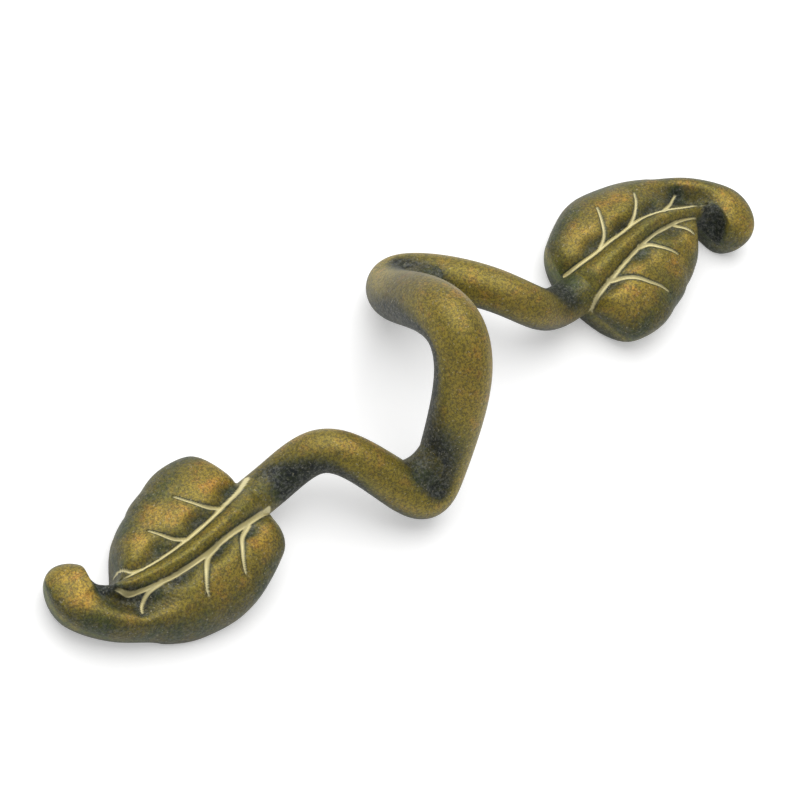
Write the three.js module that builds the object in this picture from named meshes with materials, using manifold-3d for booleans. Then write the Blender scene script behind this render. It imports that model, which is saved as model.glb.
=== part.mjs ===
// A drawer pull cast in one piece: a bent vine with a leaf at each end.
// Millimetres. X runs from leaf to leaf, Z stands out from the drawer front, and the back lies on Z = 0.
// The leaves and the vine's route are modelled as one half.
// The other half is the same, turned half way round.
import * as THREE from 'three';
import { LoftGeometry } from 'three/addons/geometries/LoftGeometry.js';
import { NURBSCurve } from 'three/addons/curves/NURBSCurve.js';
import { mergeVertices } from 'three/addons/utils/BufferGeometryUtils.js';
import Module from 'manifold-3d';

// Fixing
const holeSpacing = 96;
const holeDiameter = 3.3; // tapping size of an M4 screw
const holeDepth = 6.5;
const drillPointAngle = 118;

// Vine
const gripRadius = 4.5;
const neckRadius = 3.35;
const gripShare = 0.77; // the share of each half over which the grip thins down to the neck
const leafOffset = 1.9; // the leaves and their holes lie on a line this far off the middle of the vine
// Control points of one half: share of the way from the middle to the leaf's base, side, height
const vineRoute = [
  [0.0, 0.0, 26.4],
  [0.027, 5.2, 23.1],
  [0.083, 9.5, 15.9],
  [0.167, 13.8, 6.6],
  [0.279, 16.9, 3.9],
  [0.426, 12.0, 7.9],
  [0.562, 5.4, 11.25],
  [0.681, 0.25, 10.5],
  [0.857, 0.1, 4.6],
  [1.047, 0.6, 5.2],
];
const rootLength = 6.6; // how far the vine runs on inside the leaf, under its midrib
const rootSide = 1.5;
const rootHeight = 6.6;
const rootRadius = 3.0;
const rootShare = 0.93; // the share of each half where it starts to thin down to the root

// Leaf: rows at even steps along the midrib, from the base to the tip
// place along X from the hole, place along Y, width of the inner lobe, width of the outer lobe, height
const leafRows = [
  [-14.0, 0.8, 6.9, 6.5, 6.8],
  [-11.4, 1.25, 11.5, 8.6, 9.2],
  [-6.0, 2.1, 13.1, 10.7, 10.6],
  [-0.9, 2.9, 12.4, 11.5, 10.6],
  [4.2, 3.3, 11.2, 10.5, 10.3],
  [9.2, 2.8, 9.3, 8.8, 9.8],
  [14.0, 1.8, 1.3, 6.8, 9.1],
  [18.2, -1.4, 3.7, 5.8, 8.4],
  [21.6, -5.6, 4.9, 4.1, 7.7],
];
// Height of each rim's widest line above the back, at even steps from the base to the tip
const outerRimHeights = [6.4, 4.6, 1.8, 4.2, 6.4];
const innerRimHeights = [4.6, 4.4, 3.4, 4.0, 3.2];
const backDepth = 6.6; // how far the rounded underside would reach below the rim, before the back is cut flat
const baseRound = 5.8;
const tipRound = 5.1;
const edgeFullness = 2.2; // 2 is an ellipse, and more is squarer

// Midrib and the valleys beside it
const midribHalfWidths = [3.3, 2.0, 1.75, 1.2, 0.5]; // at even steps from the base to the tip
const midribRise = 0.6;
const midribEnd = 0.8; // share of the leaf's length
const valleyDepth = 1.0;
const valleyWidth = 1.9;
// A trough runs inside the rolled edge of the outer lobe, round the midrib's end and out at the notch
// place along X from the hole, place along Y, depth
const troughRoute = [
  [2.0, 8.4, 0.0],
  [7.5, 7.7, 1.0],
  [12.3, 5.3, 2.7],
  [15.7, 1.9, 4.0],
  [15.9, -1.9, 4.8],
  [14.0, -5.0, 4.6],
];
const troughWidth = 1.8;

// Cut veins
const veinWidth = 0.8;
const veinDepth = 0.45;
const veinStart = 0.07; // shares of the leaf's length
const veinEnd = 0.79;
// Each side vein: where it leaves the midrib, where it ends, and how far out it ends, as shares
const innerVeins = [
  [0.2, 0.345, 0.72],
  [0.385, 0.533, 0.6],
  [0.62, 0.69, 0.66],
];
const outerVeins = [
  [0.213, 0.355, 0.69],
  [0.375, 0.503, 0.64],
  [0.597, 0.69, 0.5],
];

// Mesh
const vineSteps = 90;
const vineSides = 16;
const leafSteps = 38;
const rimSteps = 8;
const backSteps = 4;
const veinSteps = 30;
const troughSteps = 60;
const sideVeinSteps = 9;

const up = new THREE.Vector3(0, 0, 1);

function mix(a, b, share) {
  return a + (b - a) * share;
}

function smoothStep(share) {
  const t = THREE.MathUtils.clamp(share, 0, 1);
  return t * t * (3 - 2 * t);
}

// A quarter circle from 0 to 1
function quarter(share) {
  const t = THREE.MathUtils.clamp(share, 0, 1);
  return Math.sqrt(1 - (1 - t) ** 2);
}

// Vine: a smooth curve through both halves, thick at the grip and thinner towards the leaves
const leafBase = holeSpacing / 2 + leafRows[0][0];

function halfRoute() {
  const route = vineRoute.map(([share, side, height]) => new THREE.Vector3(share * leafBase, side, height));
  // The curve ends beside the last point but one
  route.push(new THREE.Vector3(leafBase + rootLength, rootSide, rootHeight));
  route.push(new THREE.Vector3(leafBase + 2 * rootLength, rootSide, rootHeight));
  return route;
}

function turned(point) {
  return new THREE.Vector3(-point.x, -point.y, point.z);
}

function vineCurve() {
  const half = halfRoute();
  const route = [...half.slice(1).map(turned).reverse(), ...half];
  const middle = half.length - 1;
  route.forEach((point, i) => {
    const fromLeaf = 1 - Math.abs(i - middle) / (vineRoute.length - 1);
    point.y += leafOffset * (1 - smoothStep(fromLeaf / 0.45));
  });
  const knots = Array.from({ length: route.length + 4 }, (_, i) => i);
  const controls = route.map((point) => new THREE.Vector4(point.x, point.y, point.z, 1));
  const spline = new NURBSCurve(3, knots, controls, 3, route.length);
  // The rings stand square to a curve drawn through close points of the spline
  return new THREE.CatmullRomCurve3(spline.getSpacedPoints(2 * vineSteps));
}

function vineRadius(share) {
  const fromMiddle = Math.abs(2 * share - 1);
  const grip = 1 - smoothStep(fromMiddle / gripShare);
  const root = smoothStep((fromMiddle - rootShare) / (1 - rootShare));
  return mix(mix(neckRadius, gripRadius, grip), rootRadius, root);
}

function vineGeometry() {
  const curve = vineCurve();
  const frames = curve.computeFrenetFrames(vineSteps, false);
  const sections = [];
  for (let i = 0; i <= vineSteps; i++) {
    const centre = curve.getPointAt(i / vineSteps);
    const radius = vineRadius(i / vineSteps);
    const ring = [];
    for (let k = 0; k < vineSides; k++) {
      const angle = (2 * Math.PI * k) / vineSides;
      ring.push(
        centre
          .clone()
          .addScaledVector(frames.normals[i], radius * Math.cos(angle))
          .addScaledVector(frames.binormals[i], radius * Math.sin(angle)),
      );
    }
    sections.push(ring);
  }
  return new LoftGeometry(sections, { closed: true, capStart: true, capEnd: true });
}

// Leaf: the midrib is a plane curve, and each row's sizes are spread smoothly along it
const midrib = new THREE.SplineCurve(
  leafRows.map(([x, y]) => new THREE.Vector2(holeSpacing / 2 + x, leafOffset + y)),
);
const midribLength = midrib.getLength();

// A smooth curve through values at even steps, read at a share of its length
function smoothThrough(values, share) {
  const curve = new THREE.SplineCurve(values.map((value, i) => new THREE.Vector2(i, value)));
  return curve.getPoint(THREE.MathUtils.clamp(share, 0, 1)).y;
}

const rowColumns = leafRows[0].map((_, column) => leafRows.map((row) => row[column]));

// How much of its full size the leaf has at this share of its length: both ends are rounded off
function fullness(share) {
  return quarter((share * midribLength) / baseRound) * quarter(((1 - share) * midribLength) / tipRound);
}

function lobeWidth(share, side) {
  return smoothThrough(rowColumns[side < 0 ? 2 : 3], share) * fullness(share);
}

function midribHalfWidth(share) {
  return smoothThrough(midribHalfWidths, share);
}

// Height of the widest line between the inner rim, at side -1, and the outer rim, at side 1
function rimHeight(share, side) {
  return mix(smoothThrough(innerRimHeights, share), smoothThrough(outerRimHeights, share), (1 + side) / 2);
}

const troughCurve = new THREE.CatmullRomCurve3(
  troughRoute.map(([x, y, depth]) => new THREE.Vector3(holeSpacing / 2 + x, leafOffset + y, depth)),
  false,
  'catmullrom',
);
const troughPoints = troughCurve.getPoints(troughSteps);

// How deep the trough is at a place in plan: deepest on its route, and fading out beside it
function troughDepth(place) {
  let nearest = Infinity;
  let depth = 0;
  troughPoints.forEach((point) => {
    const distance = Math.hypot(point.x - place.x, point.y - place.y);
    if (distance < nearest) {
      nearest = distance;
      depth = point.z;
    }
  });
  return depth * Math.exp(-((nearest / troughWidth) ** 2));
}

// The place in plan at a distance from the midrib, where the outer lobe's side counts as positive
function leafPoint(share, offset, height) {
  const centre = midrib.getPoint(share);
  const along = midrib.getTangent(share);
  return new THREE.Vector3(centre.x - along.y * offset, centre.y + along.x * offset, height);
}

// A point of the leaf's face
function facePoint(share, offset) {
  const point = leafPoint(share, offset, 0);
  const full = fullness(share);
  const across = Math.min(Math.abs(offset) / lobeWidth(share, offset), 1);
  const dome = (1 - across ** edgeFullness) ** (1 / edgeFullness);
  const rim = rimHeight(share, Math.sign(offset) * across);
  const crown = (smoothThrough(rowColumns[4], share) - rim) * full * dome;
  const half = midribHalfWidth(share);
  const fade = full * (1 - smoothStep((share - midribEnd + 0.1) / 0.1));
  const valley = valleyDepth * fade * Math.exp(-(((Math.abs(offset) - half) / valleyWidth) ** 2));
  const rib = fade * Math.max(0, 1 - (offset / half) ** 2);
  const trough = troughDepth(point) * (1 - 0.7 * rib);
  point.z = rim + crown + (midribRise * rib - valley - trough) * dome;
  return point;
}

// One section of the leaf, from the outer rim over the face to the inner rim and back underneath
function leafSection(share) {
  // The lines of the mesh beside the midrib part again beyond its end
  const narrower = Math.min(lobeWidth(share, 1), lobeWidth(share, -1));
  const beyond = 1.5 * smoothStep((share - midribEnd) * 10);
  const half = Math.min(Math.max(midribHalfWidth(share), beyond), 0.4 * narrower);
  const offsets = [0, 0.5, 0.85, 1].map((part) => part * half);
  const face = (side) => {
    const width = lobeWidth(share, side);
    const outward = Array.from({ length: rimSteps }, (_, i) => {
      return mix(half, width, Math.sin(((i + 1) / rimSteps) * (Math.PI / 2)));
    });
    return [...offsets, ...outward].map((offset) => facePoint(share, side * offset));
  };
  const under = (side) =>
    Array.from({ length: backSteps }, (_, i) => {
      const angle = ((i + 1) / (backSteps + 1)) * (Math.PI / 2);
      const offset = side * lobeWidth(share, side) * Math.cos(angle) ** (2 / edgeFullness);
      const drop = backDepth * fullness(share) * Math.sin(angle) ** (2 / edgeFullness);
      return leafPoint(share, offset, rimHeight(share, side * Math.cos(angle)) - drop);
    });
  const bottom = leafPoint(share, 0, rimHeight(share, 0) - backDepth * fullness(share));
  return [...face(1).reverse(), ...face(-1).slice(1), ...under(-1), bottom, ...under(1).reverse()];
}

function leafGeometry() {
  const sections = [];
  for (let i = 0; i <= leafSteps; i++) {
    const turn = mix(0.04, 0.96, i / leafSteps) * Math.PI;
    sections.push(leafSection((1 - Math.cos(turn)) / 2));
  }
  return new LoftGeometry(sections, { closed: true, capStart: true, capEnd: true });
}

// Cut veins: a three-cornered cutter drawn along a path on the leaf's face, fine at its ends
function veinCutter(path, steps, startWidth) {
  const sections = [];
  for (let i = 0; i <= steps; i++) {
    const t = i / steps;
    const [share, offset] = path(t);
    const [nextShare, nextOffset] = path(t + 0.01);
    const point = facePoint(share, offset);
    const along = facePoint(nextShare, nextOffset).sub(point).normalize();
    const across = new THREE.Vector3().crossVectors(up, along).normalize();
    const out = new THREE.Vector3().crossVectors(along, across);
    const size = Math.max(0.12, mix(startWidth, 1, smoothStep(t * 6)) * quarter((1 - t) * 2.2));
    const wide = veinWidth * size;
    const lift = veinDepth;
    const edge = point.clone().addScaledVector(out, lift);
    sections.push([
      edge.clone().addScaledVector(across, wide),
      edge.clone().addScaledVector(across, -wide),
      point.clone().addScaledVector(out, -veinDepth * size),
    ]);
  }
  return new LoftGeometry(sections, { closed: true, capStart: true, capEnd: true });
}

function mainVein(side) {
  return veinCutter((t) => {
    const share = mix(veinStart, veinEnd, t);
    return [share, side * midribHalfWidth(share)];
  }, veinSteps, 0.4);
}

// A side vein leaves the midrib nearly along it and turns outward
function sideVein(side, [from, to, reach]) {
  return veinCutter((t) => {
    const share = mix(from, to, 1 - (1 - t) * Math.abs(1 - t));
    return [share, side * mix(midribHalfWidth(share), lobeWidth(to, side) * reach, t)];
  }, sideVeinSteps, 1);
}

// Joining and cutting
const wasm = await Module();
wasm.setup();

function solid(geometry) {
  const bare = new THREE.BufferGeometry().copy(geometry);
  bare.deleteAttribute('normal');
  bare.deleteAttribute('uv');
  const merged = mergeVertices(bare, 1e-4);
  // Faces that shrank to a line at a lathe's axis are left out
  const corners = [];
  for (let i = 0; i < merged.index.count; i += 3) {
    const [a, b, c] = merged.index.array.slice(i, i + 3);
    if (a !== b && b !== c && c !== a) corners.push(a, b, c);
  }
  const mesh = new wasm.Mesh({
    numProp: 3,
    vertProperties: new Float32Array(merged.attributes.position.array),
    triVerts: new Uint32Array(corners),
  });
  return new wasm.Manifold(mesh);
}

function geometryOf(manifold) {
  const mesh = manifold.getMesh();
  const geometry = new THREE.BufferGeometry();
  geometry.setAttribute('position', new THREE.BufferAttribute(new Float32Array(mesh.vertProperties), 3));
  geometry.setIndex(new THREE.BufferAttribute(new Uint32Array(mesh.triVerts), 1));
  geometry.computeVertexNormals();
  return geometry;
}

// The blind hole in the leaf's back, with the drill's point at its end
function holeGeometry() {
  const radius = holeDiameter / 2;
  const point = radius / Math.tan(THREE.MathUtils.degToRad(drillPointAngle / 2));
  const profile = [
    new THREE.Vector2(0, -1),
    new THREE.Vector2(radius, -1),
    new THREE.Vector2(radius, holeDepth),
    new THREE.Vector2(0, holeDepth + point),
  ];
  const hole = new THREE.LatheGeometry(profile, 24);
  hole.rotateX(Math.PI / 2);
  hole.translate(holeSpacing / 2, leafOffset, 0);
  return hole;
}

// Everything behind the drawer front's plane is cut away
function behindTheBack() {
  const below = new THREE.BoxGeometry(4 * holeSpacing, 2 * holeSpacing, holeSpacing);
  below.translate(0, 0, -holeSpacing / 2);
  return below;
}

// The same shape at the other leaf, half turned about the middle of the line between the holes
function halfTurn(geometry) {
  return new THREE.BufferGeometry().copy(geometry).rotateZ(Math.PI).translate(0, 2 * leafOffset, 0);
}

function pullGeometry() {
  const leaf = leafGeometry();
  const cuts = [mainVein(1), mainVein(-1), holeGeometry()];
  innerVeins.forEach((vein) => cuts.push(sideVein(-1, vein)));
  outerVeins.forEach((vein) => cuts.push(sideVein(1, vein)));
  let pull = solid(vineGeometry()).add(solid(leaf)).add(solid(halfTurn(leaf)));
  pull = pull.subtract(solid(behindTheBack()));
  cuts.forEach((cut) => {
    pull = pull.subtract(solid(cut)).subtract(solid(halfTurn(cut)));
  });
  return geometryOf(pull);
}

const bronze = new THREE.MeshStandardMaterial({ color: 0x6b5a2c, roughness: 0.45, metalness: 0.85 });

const pull = new THREE.Group();
const vineLeafPull = new THREE.Mesh(pullGeometry(), bronze);
vineLeafPull.name = 'vine_leaf_pull';
pull.add(vineLeafPull);

export default pull;
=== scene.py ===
"""The look of the leaf shaped pull: its fine surfaces, bronze finish, white sheet, camera and light.

Everything is placed in the frame of the CAD. Sizes named here are in millimetres, and MM makes them metres.
"""

import bpy
import numpy as np
from mathutils import Matrix


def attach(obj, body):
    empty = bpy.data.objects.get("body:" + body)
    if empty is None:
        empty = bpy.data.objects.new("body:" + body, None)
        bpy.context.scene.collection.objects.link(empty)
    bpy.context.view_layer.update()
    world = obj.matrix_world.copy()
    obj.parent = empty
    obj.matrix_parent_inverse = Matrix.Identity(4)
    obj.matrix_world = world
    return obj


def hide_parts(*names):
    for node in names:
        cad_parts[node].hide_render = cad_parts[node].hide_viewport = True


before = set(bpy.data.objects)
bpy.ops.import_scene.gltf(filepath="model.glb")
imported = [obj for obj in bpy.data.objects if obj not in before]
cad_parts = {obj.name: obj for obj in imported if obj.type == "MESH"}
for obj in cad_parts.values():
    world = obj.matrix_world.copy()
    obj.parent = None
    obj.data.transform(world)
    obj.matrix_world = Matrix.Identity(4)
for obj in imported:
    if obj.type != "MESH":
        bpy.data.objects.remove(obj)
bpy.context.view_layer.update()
MM = 0.001

# The vine: a round brass bar bent along one smooth curve from leaf to leaf, and cast in one with them.
# It is thick at the grip, thins towards the leaves, and each end sinks into its leaf's midrib.
# ROUTE holds one half of its controls: along as a share of LEAF_BASE, and across and up in millimetres.
HOLE_SPACING = 96.0
LEAF_OFFSET = 1.9
LEAF_BASE = 34.0
OFFSET_REACH = 0.45
ROUTE = np.array([
    [0.0, 0.0, 26.4], [0.027, 5.2, 23.1], [0.083, 9.5, 15.9], [0.167, 13.8, 6.6], [0.279, 16.9, 3.9],
    [0.426, 12.0, 7.9], [0.562, 5.4, 11.25], [0.681, 0.25, 10.5], [0.857, 0.1, 4.6], [1.047, 0.6, 5.2],
]) * [LEAF_BASE, 1, 1]
ROOT_LENGTH = 6.6
ROOT_SIDE = 1.5
ROOT_HEIGHT = 6.6
GRIP_RADIUS = 4.5
NECK_RADIUS = 3.35
ROOT_RADIUS = 3.0
GRIP_SHARE = 0.77
ROOT_SHARE = 0.93
SUNK_FROM = 0.92
SUNK_OVER = 0.05
SUNK_THINNING = 0.12
VINE_RINGS = 520
VINE_SIDES = 96


def smooth_step(t):
    """0 below 0, 1 above 1, and 3t^2 - 2t^3 between."""
    t = np.clip(t, 0, 1)
    return t * t * (3 - 2 * t)


def spline_points(controls, count, fine_steps=4001):
    """Points at even steps of length along the uniform cubic B-spline of these controls."""
    spans = len(controls) - 3
    t = np.linspace(0, spans, fine_steps)
    i = np.minimum(t.astype(int), spans - 1)
    f = (t - i)[:, None]
    weights = [(1 - f) ** 3, 3 * f ** 3 - 6 * f ** 2 + 4, -3 * f ** 3 + 3 * f ** 2 + 3 * f + 1, f ** 3]
    fine = sum(w / 6 * controls[i + k] for k, w in enumerate(weights))
    length = np.concatenate([[0], np.cumsum(np.linalg.norm(np.diff(fine, axis=0), axis=1))])
    stops = np.linspace(0, length[-1], count)
    return np.stack([np.interp(stops, length, fine[:, k]) for k in range(3)], 1)


def directions(points):
    """The unit vector along a curve at each of its points: its neighbours' difference over its length."""
    ahead = np.gradient(points, axis=0)
    return ahead / np.linalg.norm(ahead, axis=1, keepdims=True)


def carried_normals(tangents):
    """A unit vector square to each tangent, turned as little as possible from one to the next."""
    normal = np.cross(tangents[0], [0.0, 0.0, 1.0])
    normals = []
    for tangent in tangents:
        normal = normal - tangent * (normal @ tangent)
        normal /= np.linalg.norm(normal)
        normals.append(normal)
    return np.array(normals)


def outward(tangents, angle):
    """Unit vectors all round a bar: the cosine along its carried normal and the sine square to that."""
    normal = carried_normals(tangents)
    square = np.cross(tangents, normal)
    return np.cos(angle)[:, None] * normal[:, None] + np.sin(angle)[:, None] * square[:, None]


def closed_mesh(name, rings, attributes):
    """A closed smooth mesh through rings of points (rings, points, xyz), with a fan over each end.

    attributes holds one value for each ring point, and the end points take the mean of their ring.
    """
    count, sides = rings.shape[:2]
    points = np.concatenate([rings.reshape(-1, 3), rings[:1].mean(1), rings[-1:].mean(1)]) * MM
    here = (np.arange(count - 1)[:, None] * sides + np.arange(sides)).ravel()
    after = (np.arange(count - 1)[:, None] * sides + (np.arange(sides) + 1) % sides).ravel()
    quads = np.stack([here, after, after + sides, here + sides], 1)
    last = (count - 1) * sides
    k = np.arange(sides)
    start = np.stack([(k + 1) % sides, k, np.full(sides, count * sides)], 1)
    end = np.stack([last + k, last + (k + 1) % sides, np.full(sides, count * sides + 1)], 1)
    corners = np.concatenate([quads.ravel(), start.ravel(), end.ravel()])
    totals = np.concatenate([np.full(len(quads), 4), np.full(2 * sides, 3)])
    mesh = bpy.data.meshes.new(name)
    mesh.vertices.add(len(points))
    mesh.vertices.foreach_set("co", points.ravel())
    mesh.loops.add(len(corners))
    mesh.loops.foreach_set("vertex_index", corners)
    mesh.polygons.add(len(totals))
    mesh.polygons.foreach_set("loop_start", np.concatenate([[0], np.cumsum(totals)[:-1]]))
    mesh.polygons.foreach_set("use_smooth", np.ones(len(totals), bool))
    for key, values in attributes.items():
        poles = [values[0].mean(), values[-1].mean()]
        layer = mesh.attributes.new(key, "FLOAT", "POINT")
        layer.data.foreach_set("value", np.concatenate([values.ravel(), poles]))
    mesh.update(calc_edges=True)
    mesh.validate()
    piece = bpy.data.objects.new(name, mesh)
    bpy.context.scene.collection.objects.link(piece)
    return piece


half = np.vstack([ROUTE, [LEAF_BASE + ROOT_LENGTH, ROOT_SIDE, ROOT_HEIGHT],
                  [LEAF_BASE + 2 * ROOT_LENGTH, ROOT_SIDE, ROOT_HEIGHT]])
controls = np.vstack([(half[1:] * [-1, -1, 1])[::-1], half])
middle = len(half) - 1
from_leaf = 1 - np.abs(np.arange(len(controls)) - middle) / (len(ROUTE) - 1)
controls[:, 1] += LEAF_OFFSET * (1 - smooth_step(from_leaf / OFFSET_REACH))
centre = spline_points(controls, VINE_RINGS)
tangent = directions(centre)
place_along = np.linspace(-1, 1, VINE_RINGS)
from_middle = np.abs(place_along)
radius = NECK_RADIUS + (GRIP_RADIUS - NECK_RADIUS) * (1 - smooth_step(from_middle / GRIP_SHARE))
radius += (ROOT_RADIUS - radius) * smooth_step((from_middle - ROOT_SHARE) / (1 - ROOT_SHARE))
sunk = 1 - SUNK_THINNING * smooth_step((from_middle - SUNK_FROM) / SUNK_OVER)
angle = 2 * np.pi * np.arange(VINE_SIDES) / VINE_SIDES
around = outward(tangent, angle)
vine_rings = centre[:, None] + (radius * sunk)[:, None, None] * around

# Painted shade darkens the bar where it faces down and inside its bends, less so towards the leaves, and the
# rest is rubbed.
# Each darker spot has its place along the vine from -1 to 1, its size and its darkness.
BEND_RINGS = 111
BEND_GAIN = 3.2
INNER_GAIN = 1.9
INNER_START = 0.25
INNER_DARK = 0.98
UNDER_START = 0.45
UNDER_DARK = 0.85
STEEPEST = 1.05
SHADE_FADE_FROM = 0.82
SHADE_FADE_OVER = 0.08
SHADE_FADE_SHARE = 0.85
RUB_SHARE = 0.6
RUB_INNER = 0.5
RUB_UPPER = (0.8, 0.5)
DARK_SPOTS = ((-0.16, 0.10, 0.50), (-0.84, 0.10, 0.35), (0.84, 0.10, 0.30))
bend = np.gradient(tangent, axis=0) / np.linalg.norm(np.gradient(centre, axis=0), axis=1, keepdims=True)
window = np.hanning(BEND_RINGS) / np.hanning(BEND_RINGS).sum()
bend = np.stack([np.convolve(bend[:, k], window, "same") for k in range(3)], 1) * BEND_GAIN
inside = np.einsum("rsk,rk->rs", around, bend) * radius[:, None]
upper = around[:, :, 2] / np.sqrt(STEEPEST - tangent[:, 2:] ** 2)
# Painted shade on the inner side of the bends and on the underside of the bar, faded towards the leaves, plus
# the darker spots
inner_side_shade = INNER_DARK * smooth_step(inside * INNER_GAIN + INNER_START)
underside_shade = UNDER_DARK * smooth_step(UNDER_START - upper)
shade_fade_at_leaves = SHADE_FADE_SHARE * smooth_step((from_middle - SHADE_FADE_FROM) / SHADE_FADE_OVER)[:, None]
dark_spots = sum(dark * np.exp(-((place_along - spot) / size) ** 2) for spot, size, dark in DARK_SPOTS)[:, None]
vine_shade_and_spots = np.clip((inner_side_shade + underside_shade) * (1 - shade_fade_at_leaves) + dark_spots, 0, 1)
vine_crown = RUB_SHARE * smooth_step(RUB_INNER - inside)
vine_crown = vine_crown * smooth_step(around[:, :, 2] * RUB_UPPER[0] + RUB_UPPER[1])

# The finish: a green brown patina over brass, sooty in the hollows, rubbed gold on the crowns and veins, with
# painted shade in the hollows, under the vine and near the sheet, and painted grey sheen on the edges.
# Each noise: features to the metre, detail and roughness, and for spots where they start and are full.
# Each pair after those is a slope and a start.
PATINA = (0.270, 0.222, 0.028)
GREEN = (0.112, 0.138, 0.026)
RUBBED = (0.56, 0.365, 0.048)
ORANGE = (0.62, 0.29, 0.050)
# Sooty black for the grain, the stains and the patina in the hollows, and for painted shade
SOOT_AND_SHADE = (0.013, 0.017, 0.018)
# Grey for dust in the hollows, and for painted grey sheen on the edges
DUST_AND_SHEEN = (0.22, 0.225, 0.20)
VEIN_GOLD = (0.72, 0.65, 0.36)
SPECK = (0.50, 0.46, 0.33)
PATCHES = (170, 5, 0.7, 0.40, 0.60)
WEAR_SPOTS = (170, 6, 0.72, 0.42, 0.58)
WARM_SPOTS = (330, 6, 0.75, 0.50, 0.64)
GRAIN = (2600, 6, 0.85, 0.43, 0.57)
STAINS = (380, 6, 0.75, 0.52, 0.70)
SMUDGES = (1300, 3, 0.7)
DUST_SPOTS = (1900, 5, 0.8, 0.46, 0.60)
SPECKS = (2400, 1, 0.55, 0.68, 0.74)
ROUGH_SPOTS = (900, 4, 0.55)
FINE_BUMPS = (1900, 2, 0.55)
COARSE_BUMPS = (450, 3, 0.55)
WEAR = (0.55, 0.35)
WARM_SHARE = 0.6
GRAIN_SHARE = 0.66
STAIN_SHARE = 0.25
SMUDGE = (0.7, 0.55)
DUST_AND_SHEEN_SHARE = (0.34, 0.07)
SPECK_SHARE = 0.35
METALLIC = 0.5
SPECULAR = 0.30
ROUGHNESS = (0.22, 0.41)
RECESS_ROUGHNESS = 0.15
COAT = 0.12
COAT_ROUGHNESS = 0.35
BUMP_STRENGTH = 0.25
BUMP_DEPTH = 0.12
COARSE_SHARE = 1.5

bronze = bpy.data.materials.new("antique_bronze")
bronze.use_nodes = True
nodes, links = bronze.node_tree.nodes, bronze.node_tree.links
shader = nodes["Principled BSDF"]
place = nodes.new("ShaderNodeTexCoord").outputs["Object"]


def noise(scale, detail, roughness):
    """The value of a noise texture with this many features to the metre."""
    node = nodes.new("ShaderNodeTexNoise")
    node.inputs["Scale"].default_value = scale
    node.inputs["Detail"].default_value = detail
    node.inputs["Roughness"].default_value = roughness
    links.new(place, node.inputs["Vector"])
    return node.outputs["Fac"]


def attribute(name):
    """The value that the mesh carries at each point under this name."""
    node = nodes.new("ShaderNodeAttribute")
    node.attribute_name = name
    return node.outputs["Fac"]


def joined(kind, a, b, clamp=False):
    """The sum or the product of two values."""
    node = nodes.new("ShaderNodeMath")
    node.operation = kind
    node.use_clamp = clamp
    links.new(a, node.inputs[0])
    links.new(b, node.inputs[1])
    return node.outputs[0]


def line(value, slope, start=0.0):
    """The value times the slope, plus the start."""
    node = nodes.new("ShaderNodeMath")
    node.operation = "MULTIPLY_ADD"
    links.new(value, node.inputs[0])
    node.inputs[1].default_value = slope
    node.inputs[2].default_value = start
    return node.outputs[0]


def mottle(scale, detail, roughness, low, high):
    """0 where a noise is under low, 1 where it is over high, and smooth between."""
    node = nodes.new("ShaderNodeMapRange")
    node.interpolation_type = "SMOOTHSTEP"
    node.inputs["From Min"].default_value = low
    node.inputs["From Max"].default_value = high
    links.new(noise(scale, detail, roughness), node.inputs["Value"])
    return node.outputs[0]


def blend(share, a, b):
    """Colour a, going over to colour b with the share."""
    node = nodes.new("ShaderNodeMix")
    node.data_type = "RGBA"
    links.new(share, node.inputs[0])
    for value, socket in ((a, node.inputs[6]), (b, node.inputs[7])):
        if hasattr(value, "links"):
            links.new(value, socket)
        else:
            socket.default_value = (*value, 1)
    return node.outputs[2]


patina_and_shade, crown, vein = attribute("patina_and_shade"), attribute("crown"), attribute("vein")
colour = blend(mottle(*PATCHES), PATINA, GREEN)
colour = blend(joined("MULTIPLY", crown, line(mottle(*WEAR_SPOTS), *WEAR)), colour, RUBBED)
colour = blend(line(joined("MULTIPLY", crown, mottle(*WARM_SPOTS)), WARM_SHARE), colour, ORANGE)
colour = blend(line(mottle(*GRAIN), GRAIN_SHARE), colour, SOOT_AND_SHADE)
# The mesh carries patina, darker spots and painted shade. With random stains, they darken the colour to sooty
# black
dark = joined("ADD", patina_and_shade, line(mottle(*STAINS), STAIN_SHARE), clamp=True)
dark = joined("MULTIPLY", dark, line(noise(*SMUDGES), *SMUDGE), clamp=True)
colour = blend(dark, colour, SOOT_AND_SHADE)
# Grey dust in the hollows, and painted grey sheen on the edges where the painted shade lies
colour = blend(joined("MULTIPLY", mottle(*DUST_SPOTS), line(patina_and_shade, *DUST_AND_SHEEN_SHARE)), colour, DUST_AND_SHEEN)
colour = blend(line(mottle(*SPECKS), SPECK_SHARE), colour, SPECK)
colour = blend(vein, colour, VEIN_GOLD)
links.new(colour, shader.inputs["Base Color"])
rough = joined("ADD", line(noise(*ROUGH_SPOTS), *ROUGHNESS), line(patina_and_shade, RECESS_ROUGHNESS), clamp=True)
links.new(rough, shader.inputs["Roughness"])
shader.inputs["Metallic"].default_value = METALLIC
shader.inputs["Specular IOR Level"].default_value = SPECULAR
shader.inputs["Coat Weight"].default_value = COAT
shader.inputs["Coat Roughness"].default_value = COAT_ROUGHNESS
bump = nodes.new("ShaderNodeBump")
bump.inputs["Strength"].default_value = BUMP_STRENGTH
bump.inputs["Distance"].default_value = BUMP_DEPTH * MM
bumps = joined("ADD", noise(*FINE_BUMPS), line(noise(*COARSE_BUMPS), COARSE_SHARE))
links.new(bumps, bump.inputs["Height"])
links.new(bump.outputs[0], shader.inputs["Normal"])

vine = closed_mesh("vine", vine_rings, {"patina_and_shade": vine_shade_and_spots, "crown": vine_crown, "vein": vine_shade_and_spots * 0})
vine.data.materials.append(bronze)
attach(vine, "root")
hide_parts("vine_leaf_pull")
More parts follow.
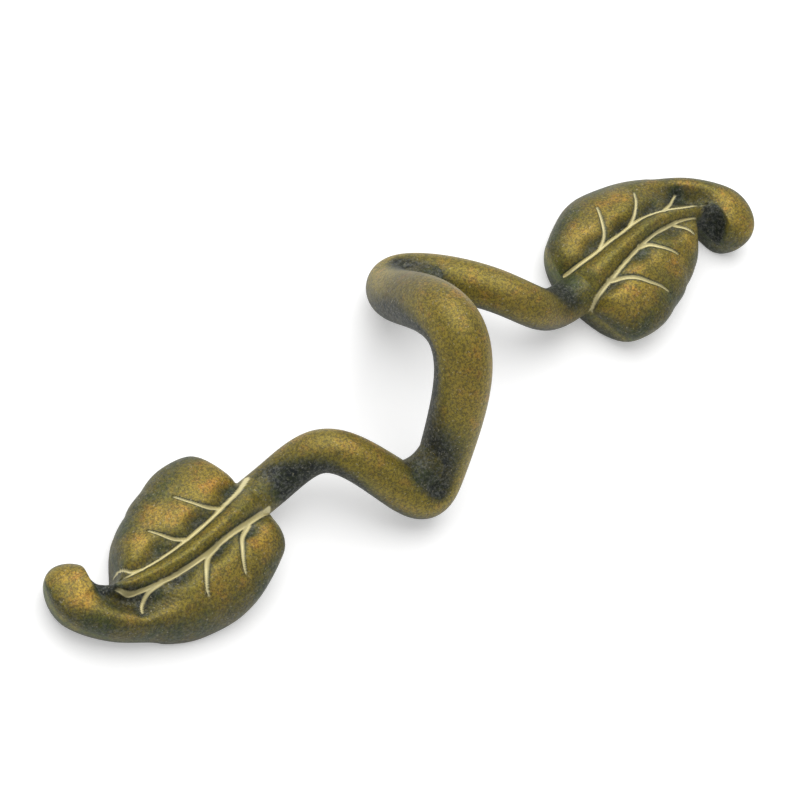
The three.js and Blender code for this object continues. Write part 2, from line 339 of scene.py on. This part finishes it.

# The web: the casting fills the sharp corner inside each low bend of the vine with a smooth saddle, darkened
# with painted shade.
# It is a short bar along a rounder curve, thinner in its middle, and its ends lie inside the vine's arms.
# WEB_AT and WEB_SPREAD, its middle and half its length, are shares of half the vine. WEB_REACH rounds it.
WEB_AT = 0.402
WEB_SPREAD = 0.130
WEB_REACH = 3.8
WEB_THICKNESS = 0.97
WEB_WAIST = 0.20
WEB_DARK = 0.45
WEB_MIDDLE_DARK = 0.35
WEB_RINGS = 60
t = np.linspace(0, 1, WEB_RINGS)[:, None]
for name, sense in (("web_right", 1), ("web_left", -1)):
    ends = (0.5 + sense * (WEB_AT - WEB_SPREAD) / 2, 0.5 + sense * (WEB_AT + WEB_SPREAD) / 2)
    first, final = [int(round(end * (VINE_RINGS - 1))) for end in ends]
    start, stop = centre[first], centre[final]
    lead_in = start + sense * tangent[first] * WEB_REACH
    lead_out = stop - sense * tangent[final] * WEB_REACH
    path = start * (1 - t) ** 3 + 3 * lead_in * t * (1 - t) ** 2
    path = path + 3 * lead_out * t ** 2 * (1 - t) + stop * t ** 3
    waist = WEB_THICKNESS - WEB_WAIST * np.sin(np.pi * t) ** 2
    thick = (radius[first] * (1 - t) + radius[final] * t) * waist
    web_rings = path[:, None] + thick[:, None] * outward(directions(path), angle)
    plain = np.ones(web_rings.shape[:2])
    # Painted shade in the corner, darkest in the web's middle
    web_shade = plain * (WEB_DARK + WEB_MIDDLE_DARK * np.sin(np.pi * t))
    web = closed_mesh(name, web_rings, {"patina_and_shade": web_shade, "crown": 0 * plain, "vein": 0 * plain})
    web.data.materials.append(bronze)
    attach(web, "root")
    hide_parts("vine_leaf_pull")

# The leaves: one puffed brass surface drawn over a plane midrib curve, with a flat back and engraved veins.
# Both have the same form, the second turned half way round the middle between the screw holes.
# Places on a leaf are in plan from its screw hole, x towards the tip.
BACK_DEPTH = 6.6
BASE_ROUND = 5.8
TIP_ROUND = 5.1
EDGE_FULLNESS = 2.2
# Rows from base to tip: x and y of the midrib, widths of the inner and outer lobe, and height
LEAF_ROWS = np.array([
    [-14.0, 0.8, 6.9, 6.5, 6.8], [-11.4, 1.25, 11.5, 8.6, 9.2], [-6.0, 2.1, 13.1, 10.7, 10.6],
    [-0.9, 2.9, 12.4, 11.5, 10.6], [4.2, 3.3, 11.25, 10.5, 10.3], [9.2, 2.8, 8.75, 8.8, 9.8],
    [14.0, 1.8, 1.3, 6.8, 9.1], [18.2, -1.4, 3.7, 5.8, 8.4], [21.6, -5.6, 4.9, 4.1, 7.7],
])
OUTER_RIM = np.array([6.4, 4.6, 1.8, 4.2, 6.4])
INNER_RIM = np.array([4.6, 4.3, 3.8, 3.7, 3.2])
MIDRIB_HALF = np.array([3.3, 2.0, 1.75, 1.2, 0.5])
MIDRIB_RISE = 0.6
MIDRIB_END = 0.8
MIDRIB_FADE = 0.1
MIDRIB_KEPT = 0.7
VALLEY_DEPTH = 1.0
VALLEY_WIDTH = 1.45
# The trough inside the rolled edge and the hollow inside the hook: x, y and depth along each
TROUGH = np.array([
    [3.0, 8.8, 0.0], [7.5, 7.9, 1.0], [11.8, 6.0, 2.6], [14.6, 3.8, 2.8], [16.6, 1.3, 1.6], [17.2, -0.6, 0.6],
])
TROUGH_WIDTH = 2.0
HOLLOW = np.array([[15.6, 0.2, 2.0], [15.2, -1.4, 4.2], [14.5, -2.9, 4.2], [13.5, -4.4, 2.6]])
HOLLOW_WIDTH = 1.6
HOLLOW_POWER = 4
POCKETS = np.array([[-8.4, 5.6], [-1.6, 5.5], [5.6, 6.0], [-9.0, -2.0], [-1.4, -0.6], [6.0, 0.0]])
POCKET_DEPTH = 0.85
POCKET_SIZE = np.array([2.4, 1.3])
EDGE_ROWS = 24
EDGE_SHARE = 0.03
BODY_ROWS = 254
FACE_STEPS = 128
BACK_STEPS = 14
PATH_STEPS = 120
FINE_STEPS = 2001
SLOPE_STEP = 1e-4


def quarter(t):
    """The height of a quarter circle that rises from 0 at 0 to 1 at 1."""
    t = np.clip(t, 0, 1)
    return np.sqrt(1 - (1 - t) ** 2)


def along(values, share):
    """Values at even steps joined by a smooth curve through them (Catmull-Rom)."""
    last = len(values) - 1
    t = np.clip(share, 0, 1) * last
    i = np.minimum(t.astype(int), last - 1)
    f = t - i
    here, after = values[i], values[i + 1]
    before = np.where(i > 0, values[np.maximum(i - 1, 0)], 2 * here - after)
    beyond = np.where(i < last - 1, values[np.minimum(i + 2, last)], 2 * after - here)
    rise, fall = (after - before) / 2, (beyond - here) / 2
    cubic = 2 * (here - after) + rise + fall
    square = 3 * (after - here) - 2 * rise - fall
    return cubic * f ** 3 + square * f ** 2 + rise * f + here


def to_path(x, y, path, count):
    """Each point's distance in plan to a curve through the path, and the share at which it is nearest."""
    nearest = np.full(x.shape, np.inf)
    where = np.zeros(x.shape)
    for s in np.linspace(0, 1, count):
        distance = (x - along(path[:, 0], s)) ** 2 + (y - along(path[:, 1], s)) ** 2
        where = np.where(distance < nearest, s, where)
        nearest = np.minimum(nearest, distance)
    return np.sqrt(nearest), where


def hump(distance, width, power=2):
    """1 at no distance, falling to 1/e at the width: the bell curve, or a flatter one with a higher power."""
    return np.exp(-((distance / width) ** power))


edge = np.linspace(0, 1, EDGE_ROWS)[1:] ** 2 * EDGE_SHARE
body = np.linspace(EDGE_SHARE, 1 - EDGE_SHARE, BODY_ROWS)[1:-1]
share = np.concatenate([edge, body, 1 - edge[::-1]])[:, None]
midrib = LEAF_ROWS[:, :2]
fine = np.linspace(0, 1, FINE_STEPS)
midrib_length = np.hypot(np.diff(along(midrib[:, 0], fine)), np.diff(along(midrib[:, 1], fine))).sum()
full = quarter(share * midrib_length / BASE_ROUND) * quarter((1 - share) * midrib_length / TIP_ROUND)
inner, outer = along(LEAF_ROWS[:, 2], share) * full, along(LEAF_ROWS[:, 3], share) * full
inner_rim, outer_rim = along(INNER_RIM, share), along(OUTER_RIM, share)
middle_rim = (inner_rim + outer_rim) / 2
lean = (outer_rim - inner_rim) / 2 * full
turn = np.linspace(0, 1, FACE_STEPS + 1)[None] * np.pi / 2
offset = np.concatenate([outer * np.cos(turn[:, :-1]), -inner * np.sin(turn)], 1)
side = np.clip(offset / np.where(offset > 0, outer, inner), -1, 1)
rim = middle_rim + lean * side
dome = (1 - np.abs(side) ** EDGE_FULLNESS) ** (1 / EDGE_FULLNESS)

# The back's points, and where all of them lie in plan: moved from the midrib square to it by the offset
down = np.linspace(0, 1, BACK_STEPS + 2)[1:-1][None] * np.pi / 2
under_inner = -inner * np.cos(down) ** (2 / EDGE_FULLNESS)
under_outer = outer * np.cos(down[:, ::-1]) ** (2 / EDGE_FULLNESS)
drop = BACK_DEPTH * full * np.sin(down) ** (2 / EDGE_FULLNESS)
ring_offset = np.concatenate([offset, under_inner, inner * 0, under_outer], 1)
under_height = np.concatenate([middle_rim - lean * np.cos(down) - drop, middle_rim - BACK_DEPTH * full,
                               middle_rim + lean * np.cos(down[:, ::-1]) - drop[:, ::-1]], 1)
dx = along(midrib[:, 0], share + SLOPE_STEP) - along(midrib[:, 0], share - SLOPE_STEP)
dy = along(midrib[:, 1], share + SLOPE_STEP) - along(midrib[:, 1], share - SLOPE_STEP)
plan_x = along(midrib[:, 0], share) - dy / np.hypot(dx, dy) * ring_offset
plan_y = along(midrib[:, 1], share) + dx / np.hypot(dx, dy) * ring_offset
x, y = plan_x[:, :offset.shape[1]], plan_y[:, :offset.shape[1]]

# The face: a dome, a raised midrib between two valleys, pockets beside it, and the trough and the hollow
rib_half = along(MIDRIB_HALF, share)
fade = full * (1 - smooth_step((share - MIDRIB_END + MIDRIB_FADE) / MIDRIB_FADE))
valley = (hump(offset - rib_half, VALLEY_WIDTH) + hump(offset + rib_half, VALLEY_WIDTH)) * fade
rib = np.maximum(0, 1 - (offset / rib_half) ** 2) * fade
distance, where = to_path(x, y, TROUGH, PATH_STEPS)
trough = along(TROUGH[:, 2], where) * hump(distance, TROUGH_WIDTH)
distance, where = to_path(x, y, HOLLOW, PATH_STEPS)
hollow = along(HOLLOW[:, 2], where) * hump(distance, HOLLOW_WIDTH, HOLLOW_POWER)
pocket = sum(hump(x - px, POCKET_SIZE[0]) * hump(y - py, POCKET_SIZE[1]) for px, py in POCKETS)
pocket = POCKET_DEPTH * fade * pocket
cut = np.maximum(trough, hollow) * (1 - MIDRIB_KEPT * rib) + pocket
face = rim + (along(LEAF_ROWS[:, 4], share) - rim) * full * dome
face += (MIDRIB_RISE * rib - VALLEY_DEPTH * valley - cut) * dome

# The face rises smoothly into the vine where that runs under it, with a softer seam further in
ROOT_FROM = 25.0
TUBE_SUNK = 0.03
FAR_BELOW = -10.0
SEAM_LEAST = 0.2
SEAM_MORE = 1.8
SEAM_OVER = 3.0
in_root = centre[:, 0] > ROOT_FROM
root = centre[in_root] - [HOLE_SPACING / 2, LEAF_OFFSET, 0]
root_radius = np.interp(x, root[:, 0], radius[in_root])
aside = (y - np.interp(x, root[:, 0], root[:, 1])) / root_radius
tube = np.interp(x, root[:, 0], root[:, 2]) + root_radius * np.sqrt(np.maximum(1 - aside ** 2, 0)) - TUBE_SUNK
tube = np.where((np.abs(aside) < 1) & (x < root[-1, 0]), tube, FAR_BELOW)
seam = SEAM_LEAST + SEAM_MORE * smooth_step((x - midrib[0, 0]) / SEAM_OVER)
face = np.maximum(face, tube) + np.maximum(seam - np.abs(face - tube), 0) ** 2 / seam / 4

# The veins are cut in each leaf where they lie on it, with a soft crease beside them.
# Each vein: half width at its start and end, and its points. The first and fifth are the main ones.
RIGHT_VEINS = [
    (0.43, 0.21, [[-14.1, 3.45], [-10, 3.8], [-6.4, 4], [-3, 4.3], [1.2, 4.8], [4.6, 4.85], [7.6, 4.7],
                  [10.8, 4.1], [13.2, 3.2], [14.8, 1.6]]),
    (0.39, 0.13, [[-8.8, 4.2], [-6.2, 5.5], [-4.6, 7.5], [-3.8, 9.2], [-3.5, 10.4]]),
    (0.45, 0.13, [[-2.3, 4.4], [-0.2, 5.1], [1.7, 6.7], [3, 8.6], [3.5, 10.3]]),
    (0.39, 0.17, [[8.2, 4.6], [10.5, 4.7], [12.0, 5.6], [13.1, 6.9]]),
    (0.35, 0.15, [[-14, -2.3], [-10.6, -1], [-7.1, -0.2], [-4, 0.5], [-0.8, 1], [1.4, 1.3], [4.3, 1.5],
                  [7.6, 1.6], [10.7, 1.4], [13, 0.9]]),
    (0.28, 0.13, [[-6.5, 0], [-4.2, -1.3], [-2.4, -3.4], [-1.1, -5.5]]),
    (0.28, 0.13, [[1.1, 1.3], [3, 0.2], [4.4, -1.5], [5.5, -3.1]]),
    (0.26, 0.15, [[9.8, 1.5], [11.3, 0.8], [12.0, -0.8]]),
]
LEFT_VEINS = [
    (0.32, 0.17, [[-13.7, 4], [-11.3, 4], [-8.4, 4.1], [-5.7, 4.4], [-2.1, 4.7], [0.9, 5], [4.7, 4.9],
                  [7.9, 4], [10.7, 3], [13.5, 2.4], [16.4, 1.9]]),
    (0.30, 0.13, [[-7.2, 4.3], [-5.6, 5.5], [-4.4, 7.5], [-3.3, 9.3], [-2.6, 10.6]]),
    (0.32, 0.13, [[0, 4.9], [1.6, 5.9], [3.8, 7.9], [5.2, 9.6]]),
    (0.30, 0.17, [[7.0, 4.2], [10, 4.9], [13, 6.1]]),
    (0.39, 0.15, [[-13.3, -2.8], [-12.4, -2], [-10.5, -1.3], [-8.3, -0.7], [-5.4, 0.1], [-2.7, 0.8],
                  [-0.4, 1.3], [3, 1.7], [5.9, 1.7], [8.1, 1.6], [10.7, 1.1], [13.5, 0.4]]),
    (0.37, 0.13, [[-9.4, -0.8], [-7.2, -1.7], [-5.3, -3.1], [-3.8, -4.6], [-2.2, -6], [-0.8, -7.6]]),
    (0.37, 0.13, [[-1.3, 1.2], [0.7, 0.7], [1.8, -0.5], [3.4, -2.1], [4.4, -3.3]]),
    (0.28, 0.13, [[7.2, 1.6], [8.5, 0.3], [9.5, -1.8]]),
]
MAIN_VEINS = (0, 4)
VEIN_STEPS = 160
VEIN_TAPER = 1.3
VEIN_DEPTH = 0.3
VEIN_END = 0.94
GROOVE_EDGE = 1.25
GOLD_EDGE = 1.12
GOLD_SHARPNESS = 3
CREASE_WIDTH = 1.0
CREASE_DEPTH = 0.25
CUT_MARGIN = 1.5

# Patina and painted shade lie in the hollows and beside the veins, painted shade lies towards the sheet and
# on the dome's shoulders, and the dark clears where the vine's neck comes in.
TROUGH_MOST = 1.4
TROUGH_DARK = 0.75
HOLLOW_DARK = 1.1
POCKET_DARK = 1.2
VALLEY_DARK = 0.45
CREASE_DARK = 0.75
FULL_DARK = 1.9
DARK_START = 0.12
LOW_EDGE = 5.0
LOW_OVER = 4.0
LOW_DARK = 0.85
SHOULDER_FROM = 0.95
SHOULDER_OVER = 0.65
SHOULDER_DARK = 0.6
OUTLINE_DARK = 0.8
OUTLINE_EDGE = (1.6, 0.6)
NECK_CLEAR = 7.1
NECK_FADE = 1.5
# The rubbed spots: x, y, size and how rubbed each is
CROWNS = np.array([
    [-6.8, -4.4, 3.4, 1.0], [-9.6, -6.0, 2.6, 0.7], [3.2, -5.0, 2.4, 0.9], [-0.4, -1.9, 1.8, 0.5],
    [8.0, -2.2, 2.0, 0.8], [-9.2, 7.9, 2.8, 1.0], [-3.4, 10.2, 2.6, 0.6], [2.0, 10.6, 2.6, 0.7],
    [9.6, 8.8, 2.4, 0.6], [14.9, 7.2, 2.2, 0.8], [19.6, 0.4, 2.2, 0.9], [19.4, -3.6, 2.4, 0.8],
    [-3.0, 2.4, 1.6, 0.5],
])
TOP_RUB = 0.25
TOP_FROM = 0.55
TOP_OVER = 0.4
RUB_LIMIT = (1.15, 1.6)


def low_shade(height):
    """Painted shade near the sheet: it grows from LOW_EDGE down over LOW_OVER."""
    return LOW_DARK * smooth_step((LOW_EDGE - height) / LOW_OVER)


def to_vein(x, y, vein):
    """Each point's distance to a vein, in half widths of its tapering line and in millimetres.

    The third result is 1 along the vein and falls to 0 from VEIN_END to its tip.
    """
    start, stop, points = vein
    distance, where = to_path(x, y, np.array(points, float), VEIN_STEPS)
    before_end = 1 - smooth_step((where - VEIN_END) / (1 - VEIN_END))
    return distance / (start + (stop - start) * where ** VEIN_TAPER), distance, before_end


def gold_line(widths):
    """1 on a vein's bright line and 0 beside it, from the distance in half widths."""
    return smooth_step((GOLD_EDGE - widths) * GOLD_SHARPNESS)


# Patina and painted shade in the trough, the hollow, the pockets and the valleys
hollows = np.minimum(trough, TROUGH_MOST) * TROUGH_DARK + hollow * HOLLOW_DARK + pocket * POCKET_DARK
hollows = hollows + VALLEY_DARK * valley * (1 - rib)
# Painted shade on the dome's sloping shoulders
shoulder_shade = SHOULDER_DARK * smooth_step((SHOULDER_FROM - dome) / SHOULDER_OVER)
clear_neck = smooth_step((x - root[-1, 0] + NECK_CLEAR) / NECK_FADE)
rubbed = sum(much * hump(np.hypot(x - px, y - py), size) for px, py, size, much in CROWNS)
rubbed = np.clip(rubbed + TOP_RUB * smooth_step((dome - TOP_FROM) / TOP_OVER), 0, 1)

# The main veins start on the upper side of the vine's neck, whose mesh carries their first few millimetres
NECK_FROM = -17.0
NECK_SIDE = 0.5
vine_vein = np.zeros(vine_rings.shape[:2])

for name, half_turn, veins in (("leaf_right", 1, RIGHT_VEINS), ("leaf_left", -1, LEFT_VEINS)):
    groove = np.zeros_like(face)
    gold = np.zeros_like(face)
    crease = np.zeros_like(face)
    vein_shade_and_grime = np.zeros_like(face)
    for this_vein in veins:
        widths, distance, before_end = to_vein(x, y, this_vein)
        groove = np.maximum(groove, smooth_step(GROOVE_EDGE - widths))
        gold = np.maximum(gold, gold_line(widths) * before_end)
        # A dark band along each vein: painted shade of the groove's walls, and grime
        vein_shade_and_grime = np.maximum(vein_shade_and_grime, smooth_step(OUTLINE_EDGE[0] - OUTLINE_EDGE[1] * widths) * before_end)
        crease = np.maximum(crease, hump(distance, CREASE_WIDTH) * fade)
    carved = face - (VEIN_DEPTH * groove + CREASE_DEPTH * crease) * np.minimum(dome * CUT_MARGIN, 1)
    # The leaf's dark: patina and painted shade in the hollows and creases, painted shade near the sheet and
    # on the shoulders, painted shade and grime along the veins
    leaf_patina_and_shade = smooth_step((hollows + CREASE_DARK * crease) / FULL_DARK - DARK_START)
    leaf_patina_and_shade = np.maximum(np.maximum(leaf_patina_and_shade, low_shade(carved)), shoulder_shade) * clear_neck
    leaf_patina_and_shade = np.maximum(leaf_patina_and_shade, OUTLINE_DARK * vein_shade_and_grime)
    worn = rubbed * smooth_step(RUB_LIMIT[0] - RUB_LIMIT[1] * leaf_patina_and_shade)
    neck_x = half_turn * vine_rings[:, :, 0] - HOLE_SPACING / 2
    neck = (neck_x > NECK_FROM) & (vine_rings[:, :, 2] > centre[:, None, 2] - NECK_SIDE)
    neck_y = half_turn * (vine_rings[:, :, 1][neck] - LEAF_OFFSET)
    for k in MAIN_VEINS:
        widths = to_vein(neck_x[neck], neck_y, veins[k])[0]
        vine_vein[neck] = np.maximum(vine_vein[neck], gold_line(widths))
    height = np.maximum(np.concatenate([carved, under_height], 1), 0)
    rings = np.stack([plan_x + HOLE_SPACING / 2, plan_y, height], -1) * [half_turn, half_turn, 1]
    rings = rings + [0, LEAF_OFFSET, 0]
    bare = np.zeros_like(under_height)
    leaf = closed_mesh(name, rings, {
        "patina_and_shade": np.concatenate([leaf_patina_and_shade, low_shade(under_height)], 1),
        "crown": np.concatenate([worn, bare], 1),
        "vein": np.concatenate([gold, bare], 1),
    })
    leaf.data.materials.append(bronze)
    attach(leaf, "root")
    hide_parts("vine_leaf_pull")

vine.data.attributes["vein"].data.foreach_set("value", np.concatenate([vine_vein.ravel(), [0, 0]]))

# The sheet: plain white paper under the pull's flat back.
# The camera sees it a little brighter than the lamp makes it, so that only the closest shadows stay.
FLOOR_SIZE = 4000.0
FLOOR_DROP = 0.05
SHEET_WHITE = (0.93, 0.93, 0.93, 1)
SHEET_ROUGHNESS = 0.9
SHEET_SPECULAR = 0.1
SHEET_LIFT = 0.29
corner, low = FLOOR_SIZE / 2 * MM, -FLOOR_DROP * MM
corners = [(-corner, -corner, low), (corner, -corner, low), (corner, corner, low), (-corner, corner, low)]
floor_mesh = bpy.data.meshes.new("floor")
floor_mesh.from_pydata(corners, [], [(0, 1, 2, 3)])
floor = bpy.data.objects.new("floor", floor_mesh)
bpy.context.scene.collection.objects.link(floor)
paper = bpy.data.materials.new("white_sheet")
paper.use_nodes = True
paper_nodes, paper_links = paper.node_tree.nodes, paper.node_tree.links
paper_shader = paper_nodes["Principled BSDF"]
paper_shader.inputs["Base Color"].default_value = SHEET_WHITE
paper_shader.inputs["Roughness"].default_value = SHEET_ROUGHNESS
paper_shader.inputs["Specular IOR Level"].default_value = SHEET_SPECULAR
paper_shader.inputs["Emission Color"].default_value = (1, 1, 1, 1)
rays = paper_nodes.new("ShaderNodeLightPath")
seen = rays.outputs["Is Camera Ray"]
for ray in ("Is Glossy Ray", "Is Transmission Ray"):
    either = paper_nodes.new("ShaderNodeMath")
    either.operation = "MAXIMUM"
    paper_links.new(seen, either.inputs[0])
    paper_links.new(rays.outputs[ray], either.inputs[1])
    seen = either.outputs[0]
lift = paper_nodes.new("ShaderNodeMath")
lift.operation = "MULTIPLY"
lift.inputs[1].default_value = SHEET_LIFT
paper_links.new(seen, lift.inputs[0])
paper_links.new(lift.outputs[0], paper_shader.inputs["Emission Strength"])
floor_mesh.materials.append(paper)

# The camera stands where the photograph was taken from, about 0.6 m away with a long lens.
# RIGHT, UP and BACK are its own axes in the frame of the CAD, and STAND is its place.
RIGHT = np.array([-0.7410767, 0.5887339, 0.3227967])
UP = np.array([-0.4491539, -0.7920516, 0.4134186])
BACK = np.array([0.4990652, 0.1613895, 0.8514032])
STAND = np.array([311.979, 100.890, 531.789]) * MM
LENS = 180
SENSOR = 36


def placed(right, up, back, stand):
    """The matrix that puts an object's own axes along these three, at this place."""
    return Matrix([[right[i], up[i], back[i], stand[i]] for i in range(3)] + [[0, 0, 0, 1]])


camera_data = bpy.data.cameras.new("camera")
camera_data.lens = LENS
camera_data.sensor_width = SENSOR
camera = bpy.data.objects.new("camera", camera_data)
bpy.context.scene.collection.objects.link(camera)
camera.matrix_world = placed(RIGHT, UP, BACK, STAND)
bpy.context.scene.camera = camera

# The light: one broad soft lamp above the picture and towards the viewer, and a pale sky.
# The lamp faces the middle of the pull, and its direction is given along the camera's axes.
SKY_STRENGTH = 0.45
LAMP_TOWARD = 0.74 * UP + 0.12 * RIGHT + 0.62 * BACK
LAMP_DISTANCE = 900.0
LAMP_BREADTH = 1200.0
LAMP_WATTS = 9.2
world = bpy.data.worlds.new("studio")
bpy.context.scene.world = world
world.use_nodes = True
world.node_tree.nodes["Background"].inputs["Color"].default_value = (1, 1, 1, 1)
world.node_tree.nodes["Background"].inputs["Strength"].default_value = SKY_STRENGTH
lamp_data = bpy.data.lights.new("key", "AREA")
lamp_data.size = LAMP_BREADTH * MM
lamp_data.energy = LAMP_WATTS
lamp = bpy.data.objects.new("key", lamp_data)
bpy.context.scene.collection.objects.link(lamp)
toward = LAMP_TOWARD / np.linalg.norm(LAMP_TOWARD)
side_way = np.cross(UP, toward)
side_way /= np.linalg.norm(side_way)
lamp.matrix_world = placed(side_way, np.cross(toward, side_way), toward, toward * LAMP_DISTANCE * MM)

bpy.context.scene.view_settings.view_transform = "Standard"
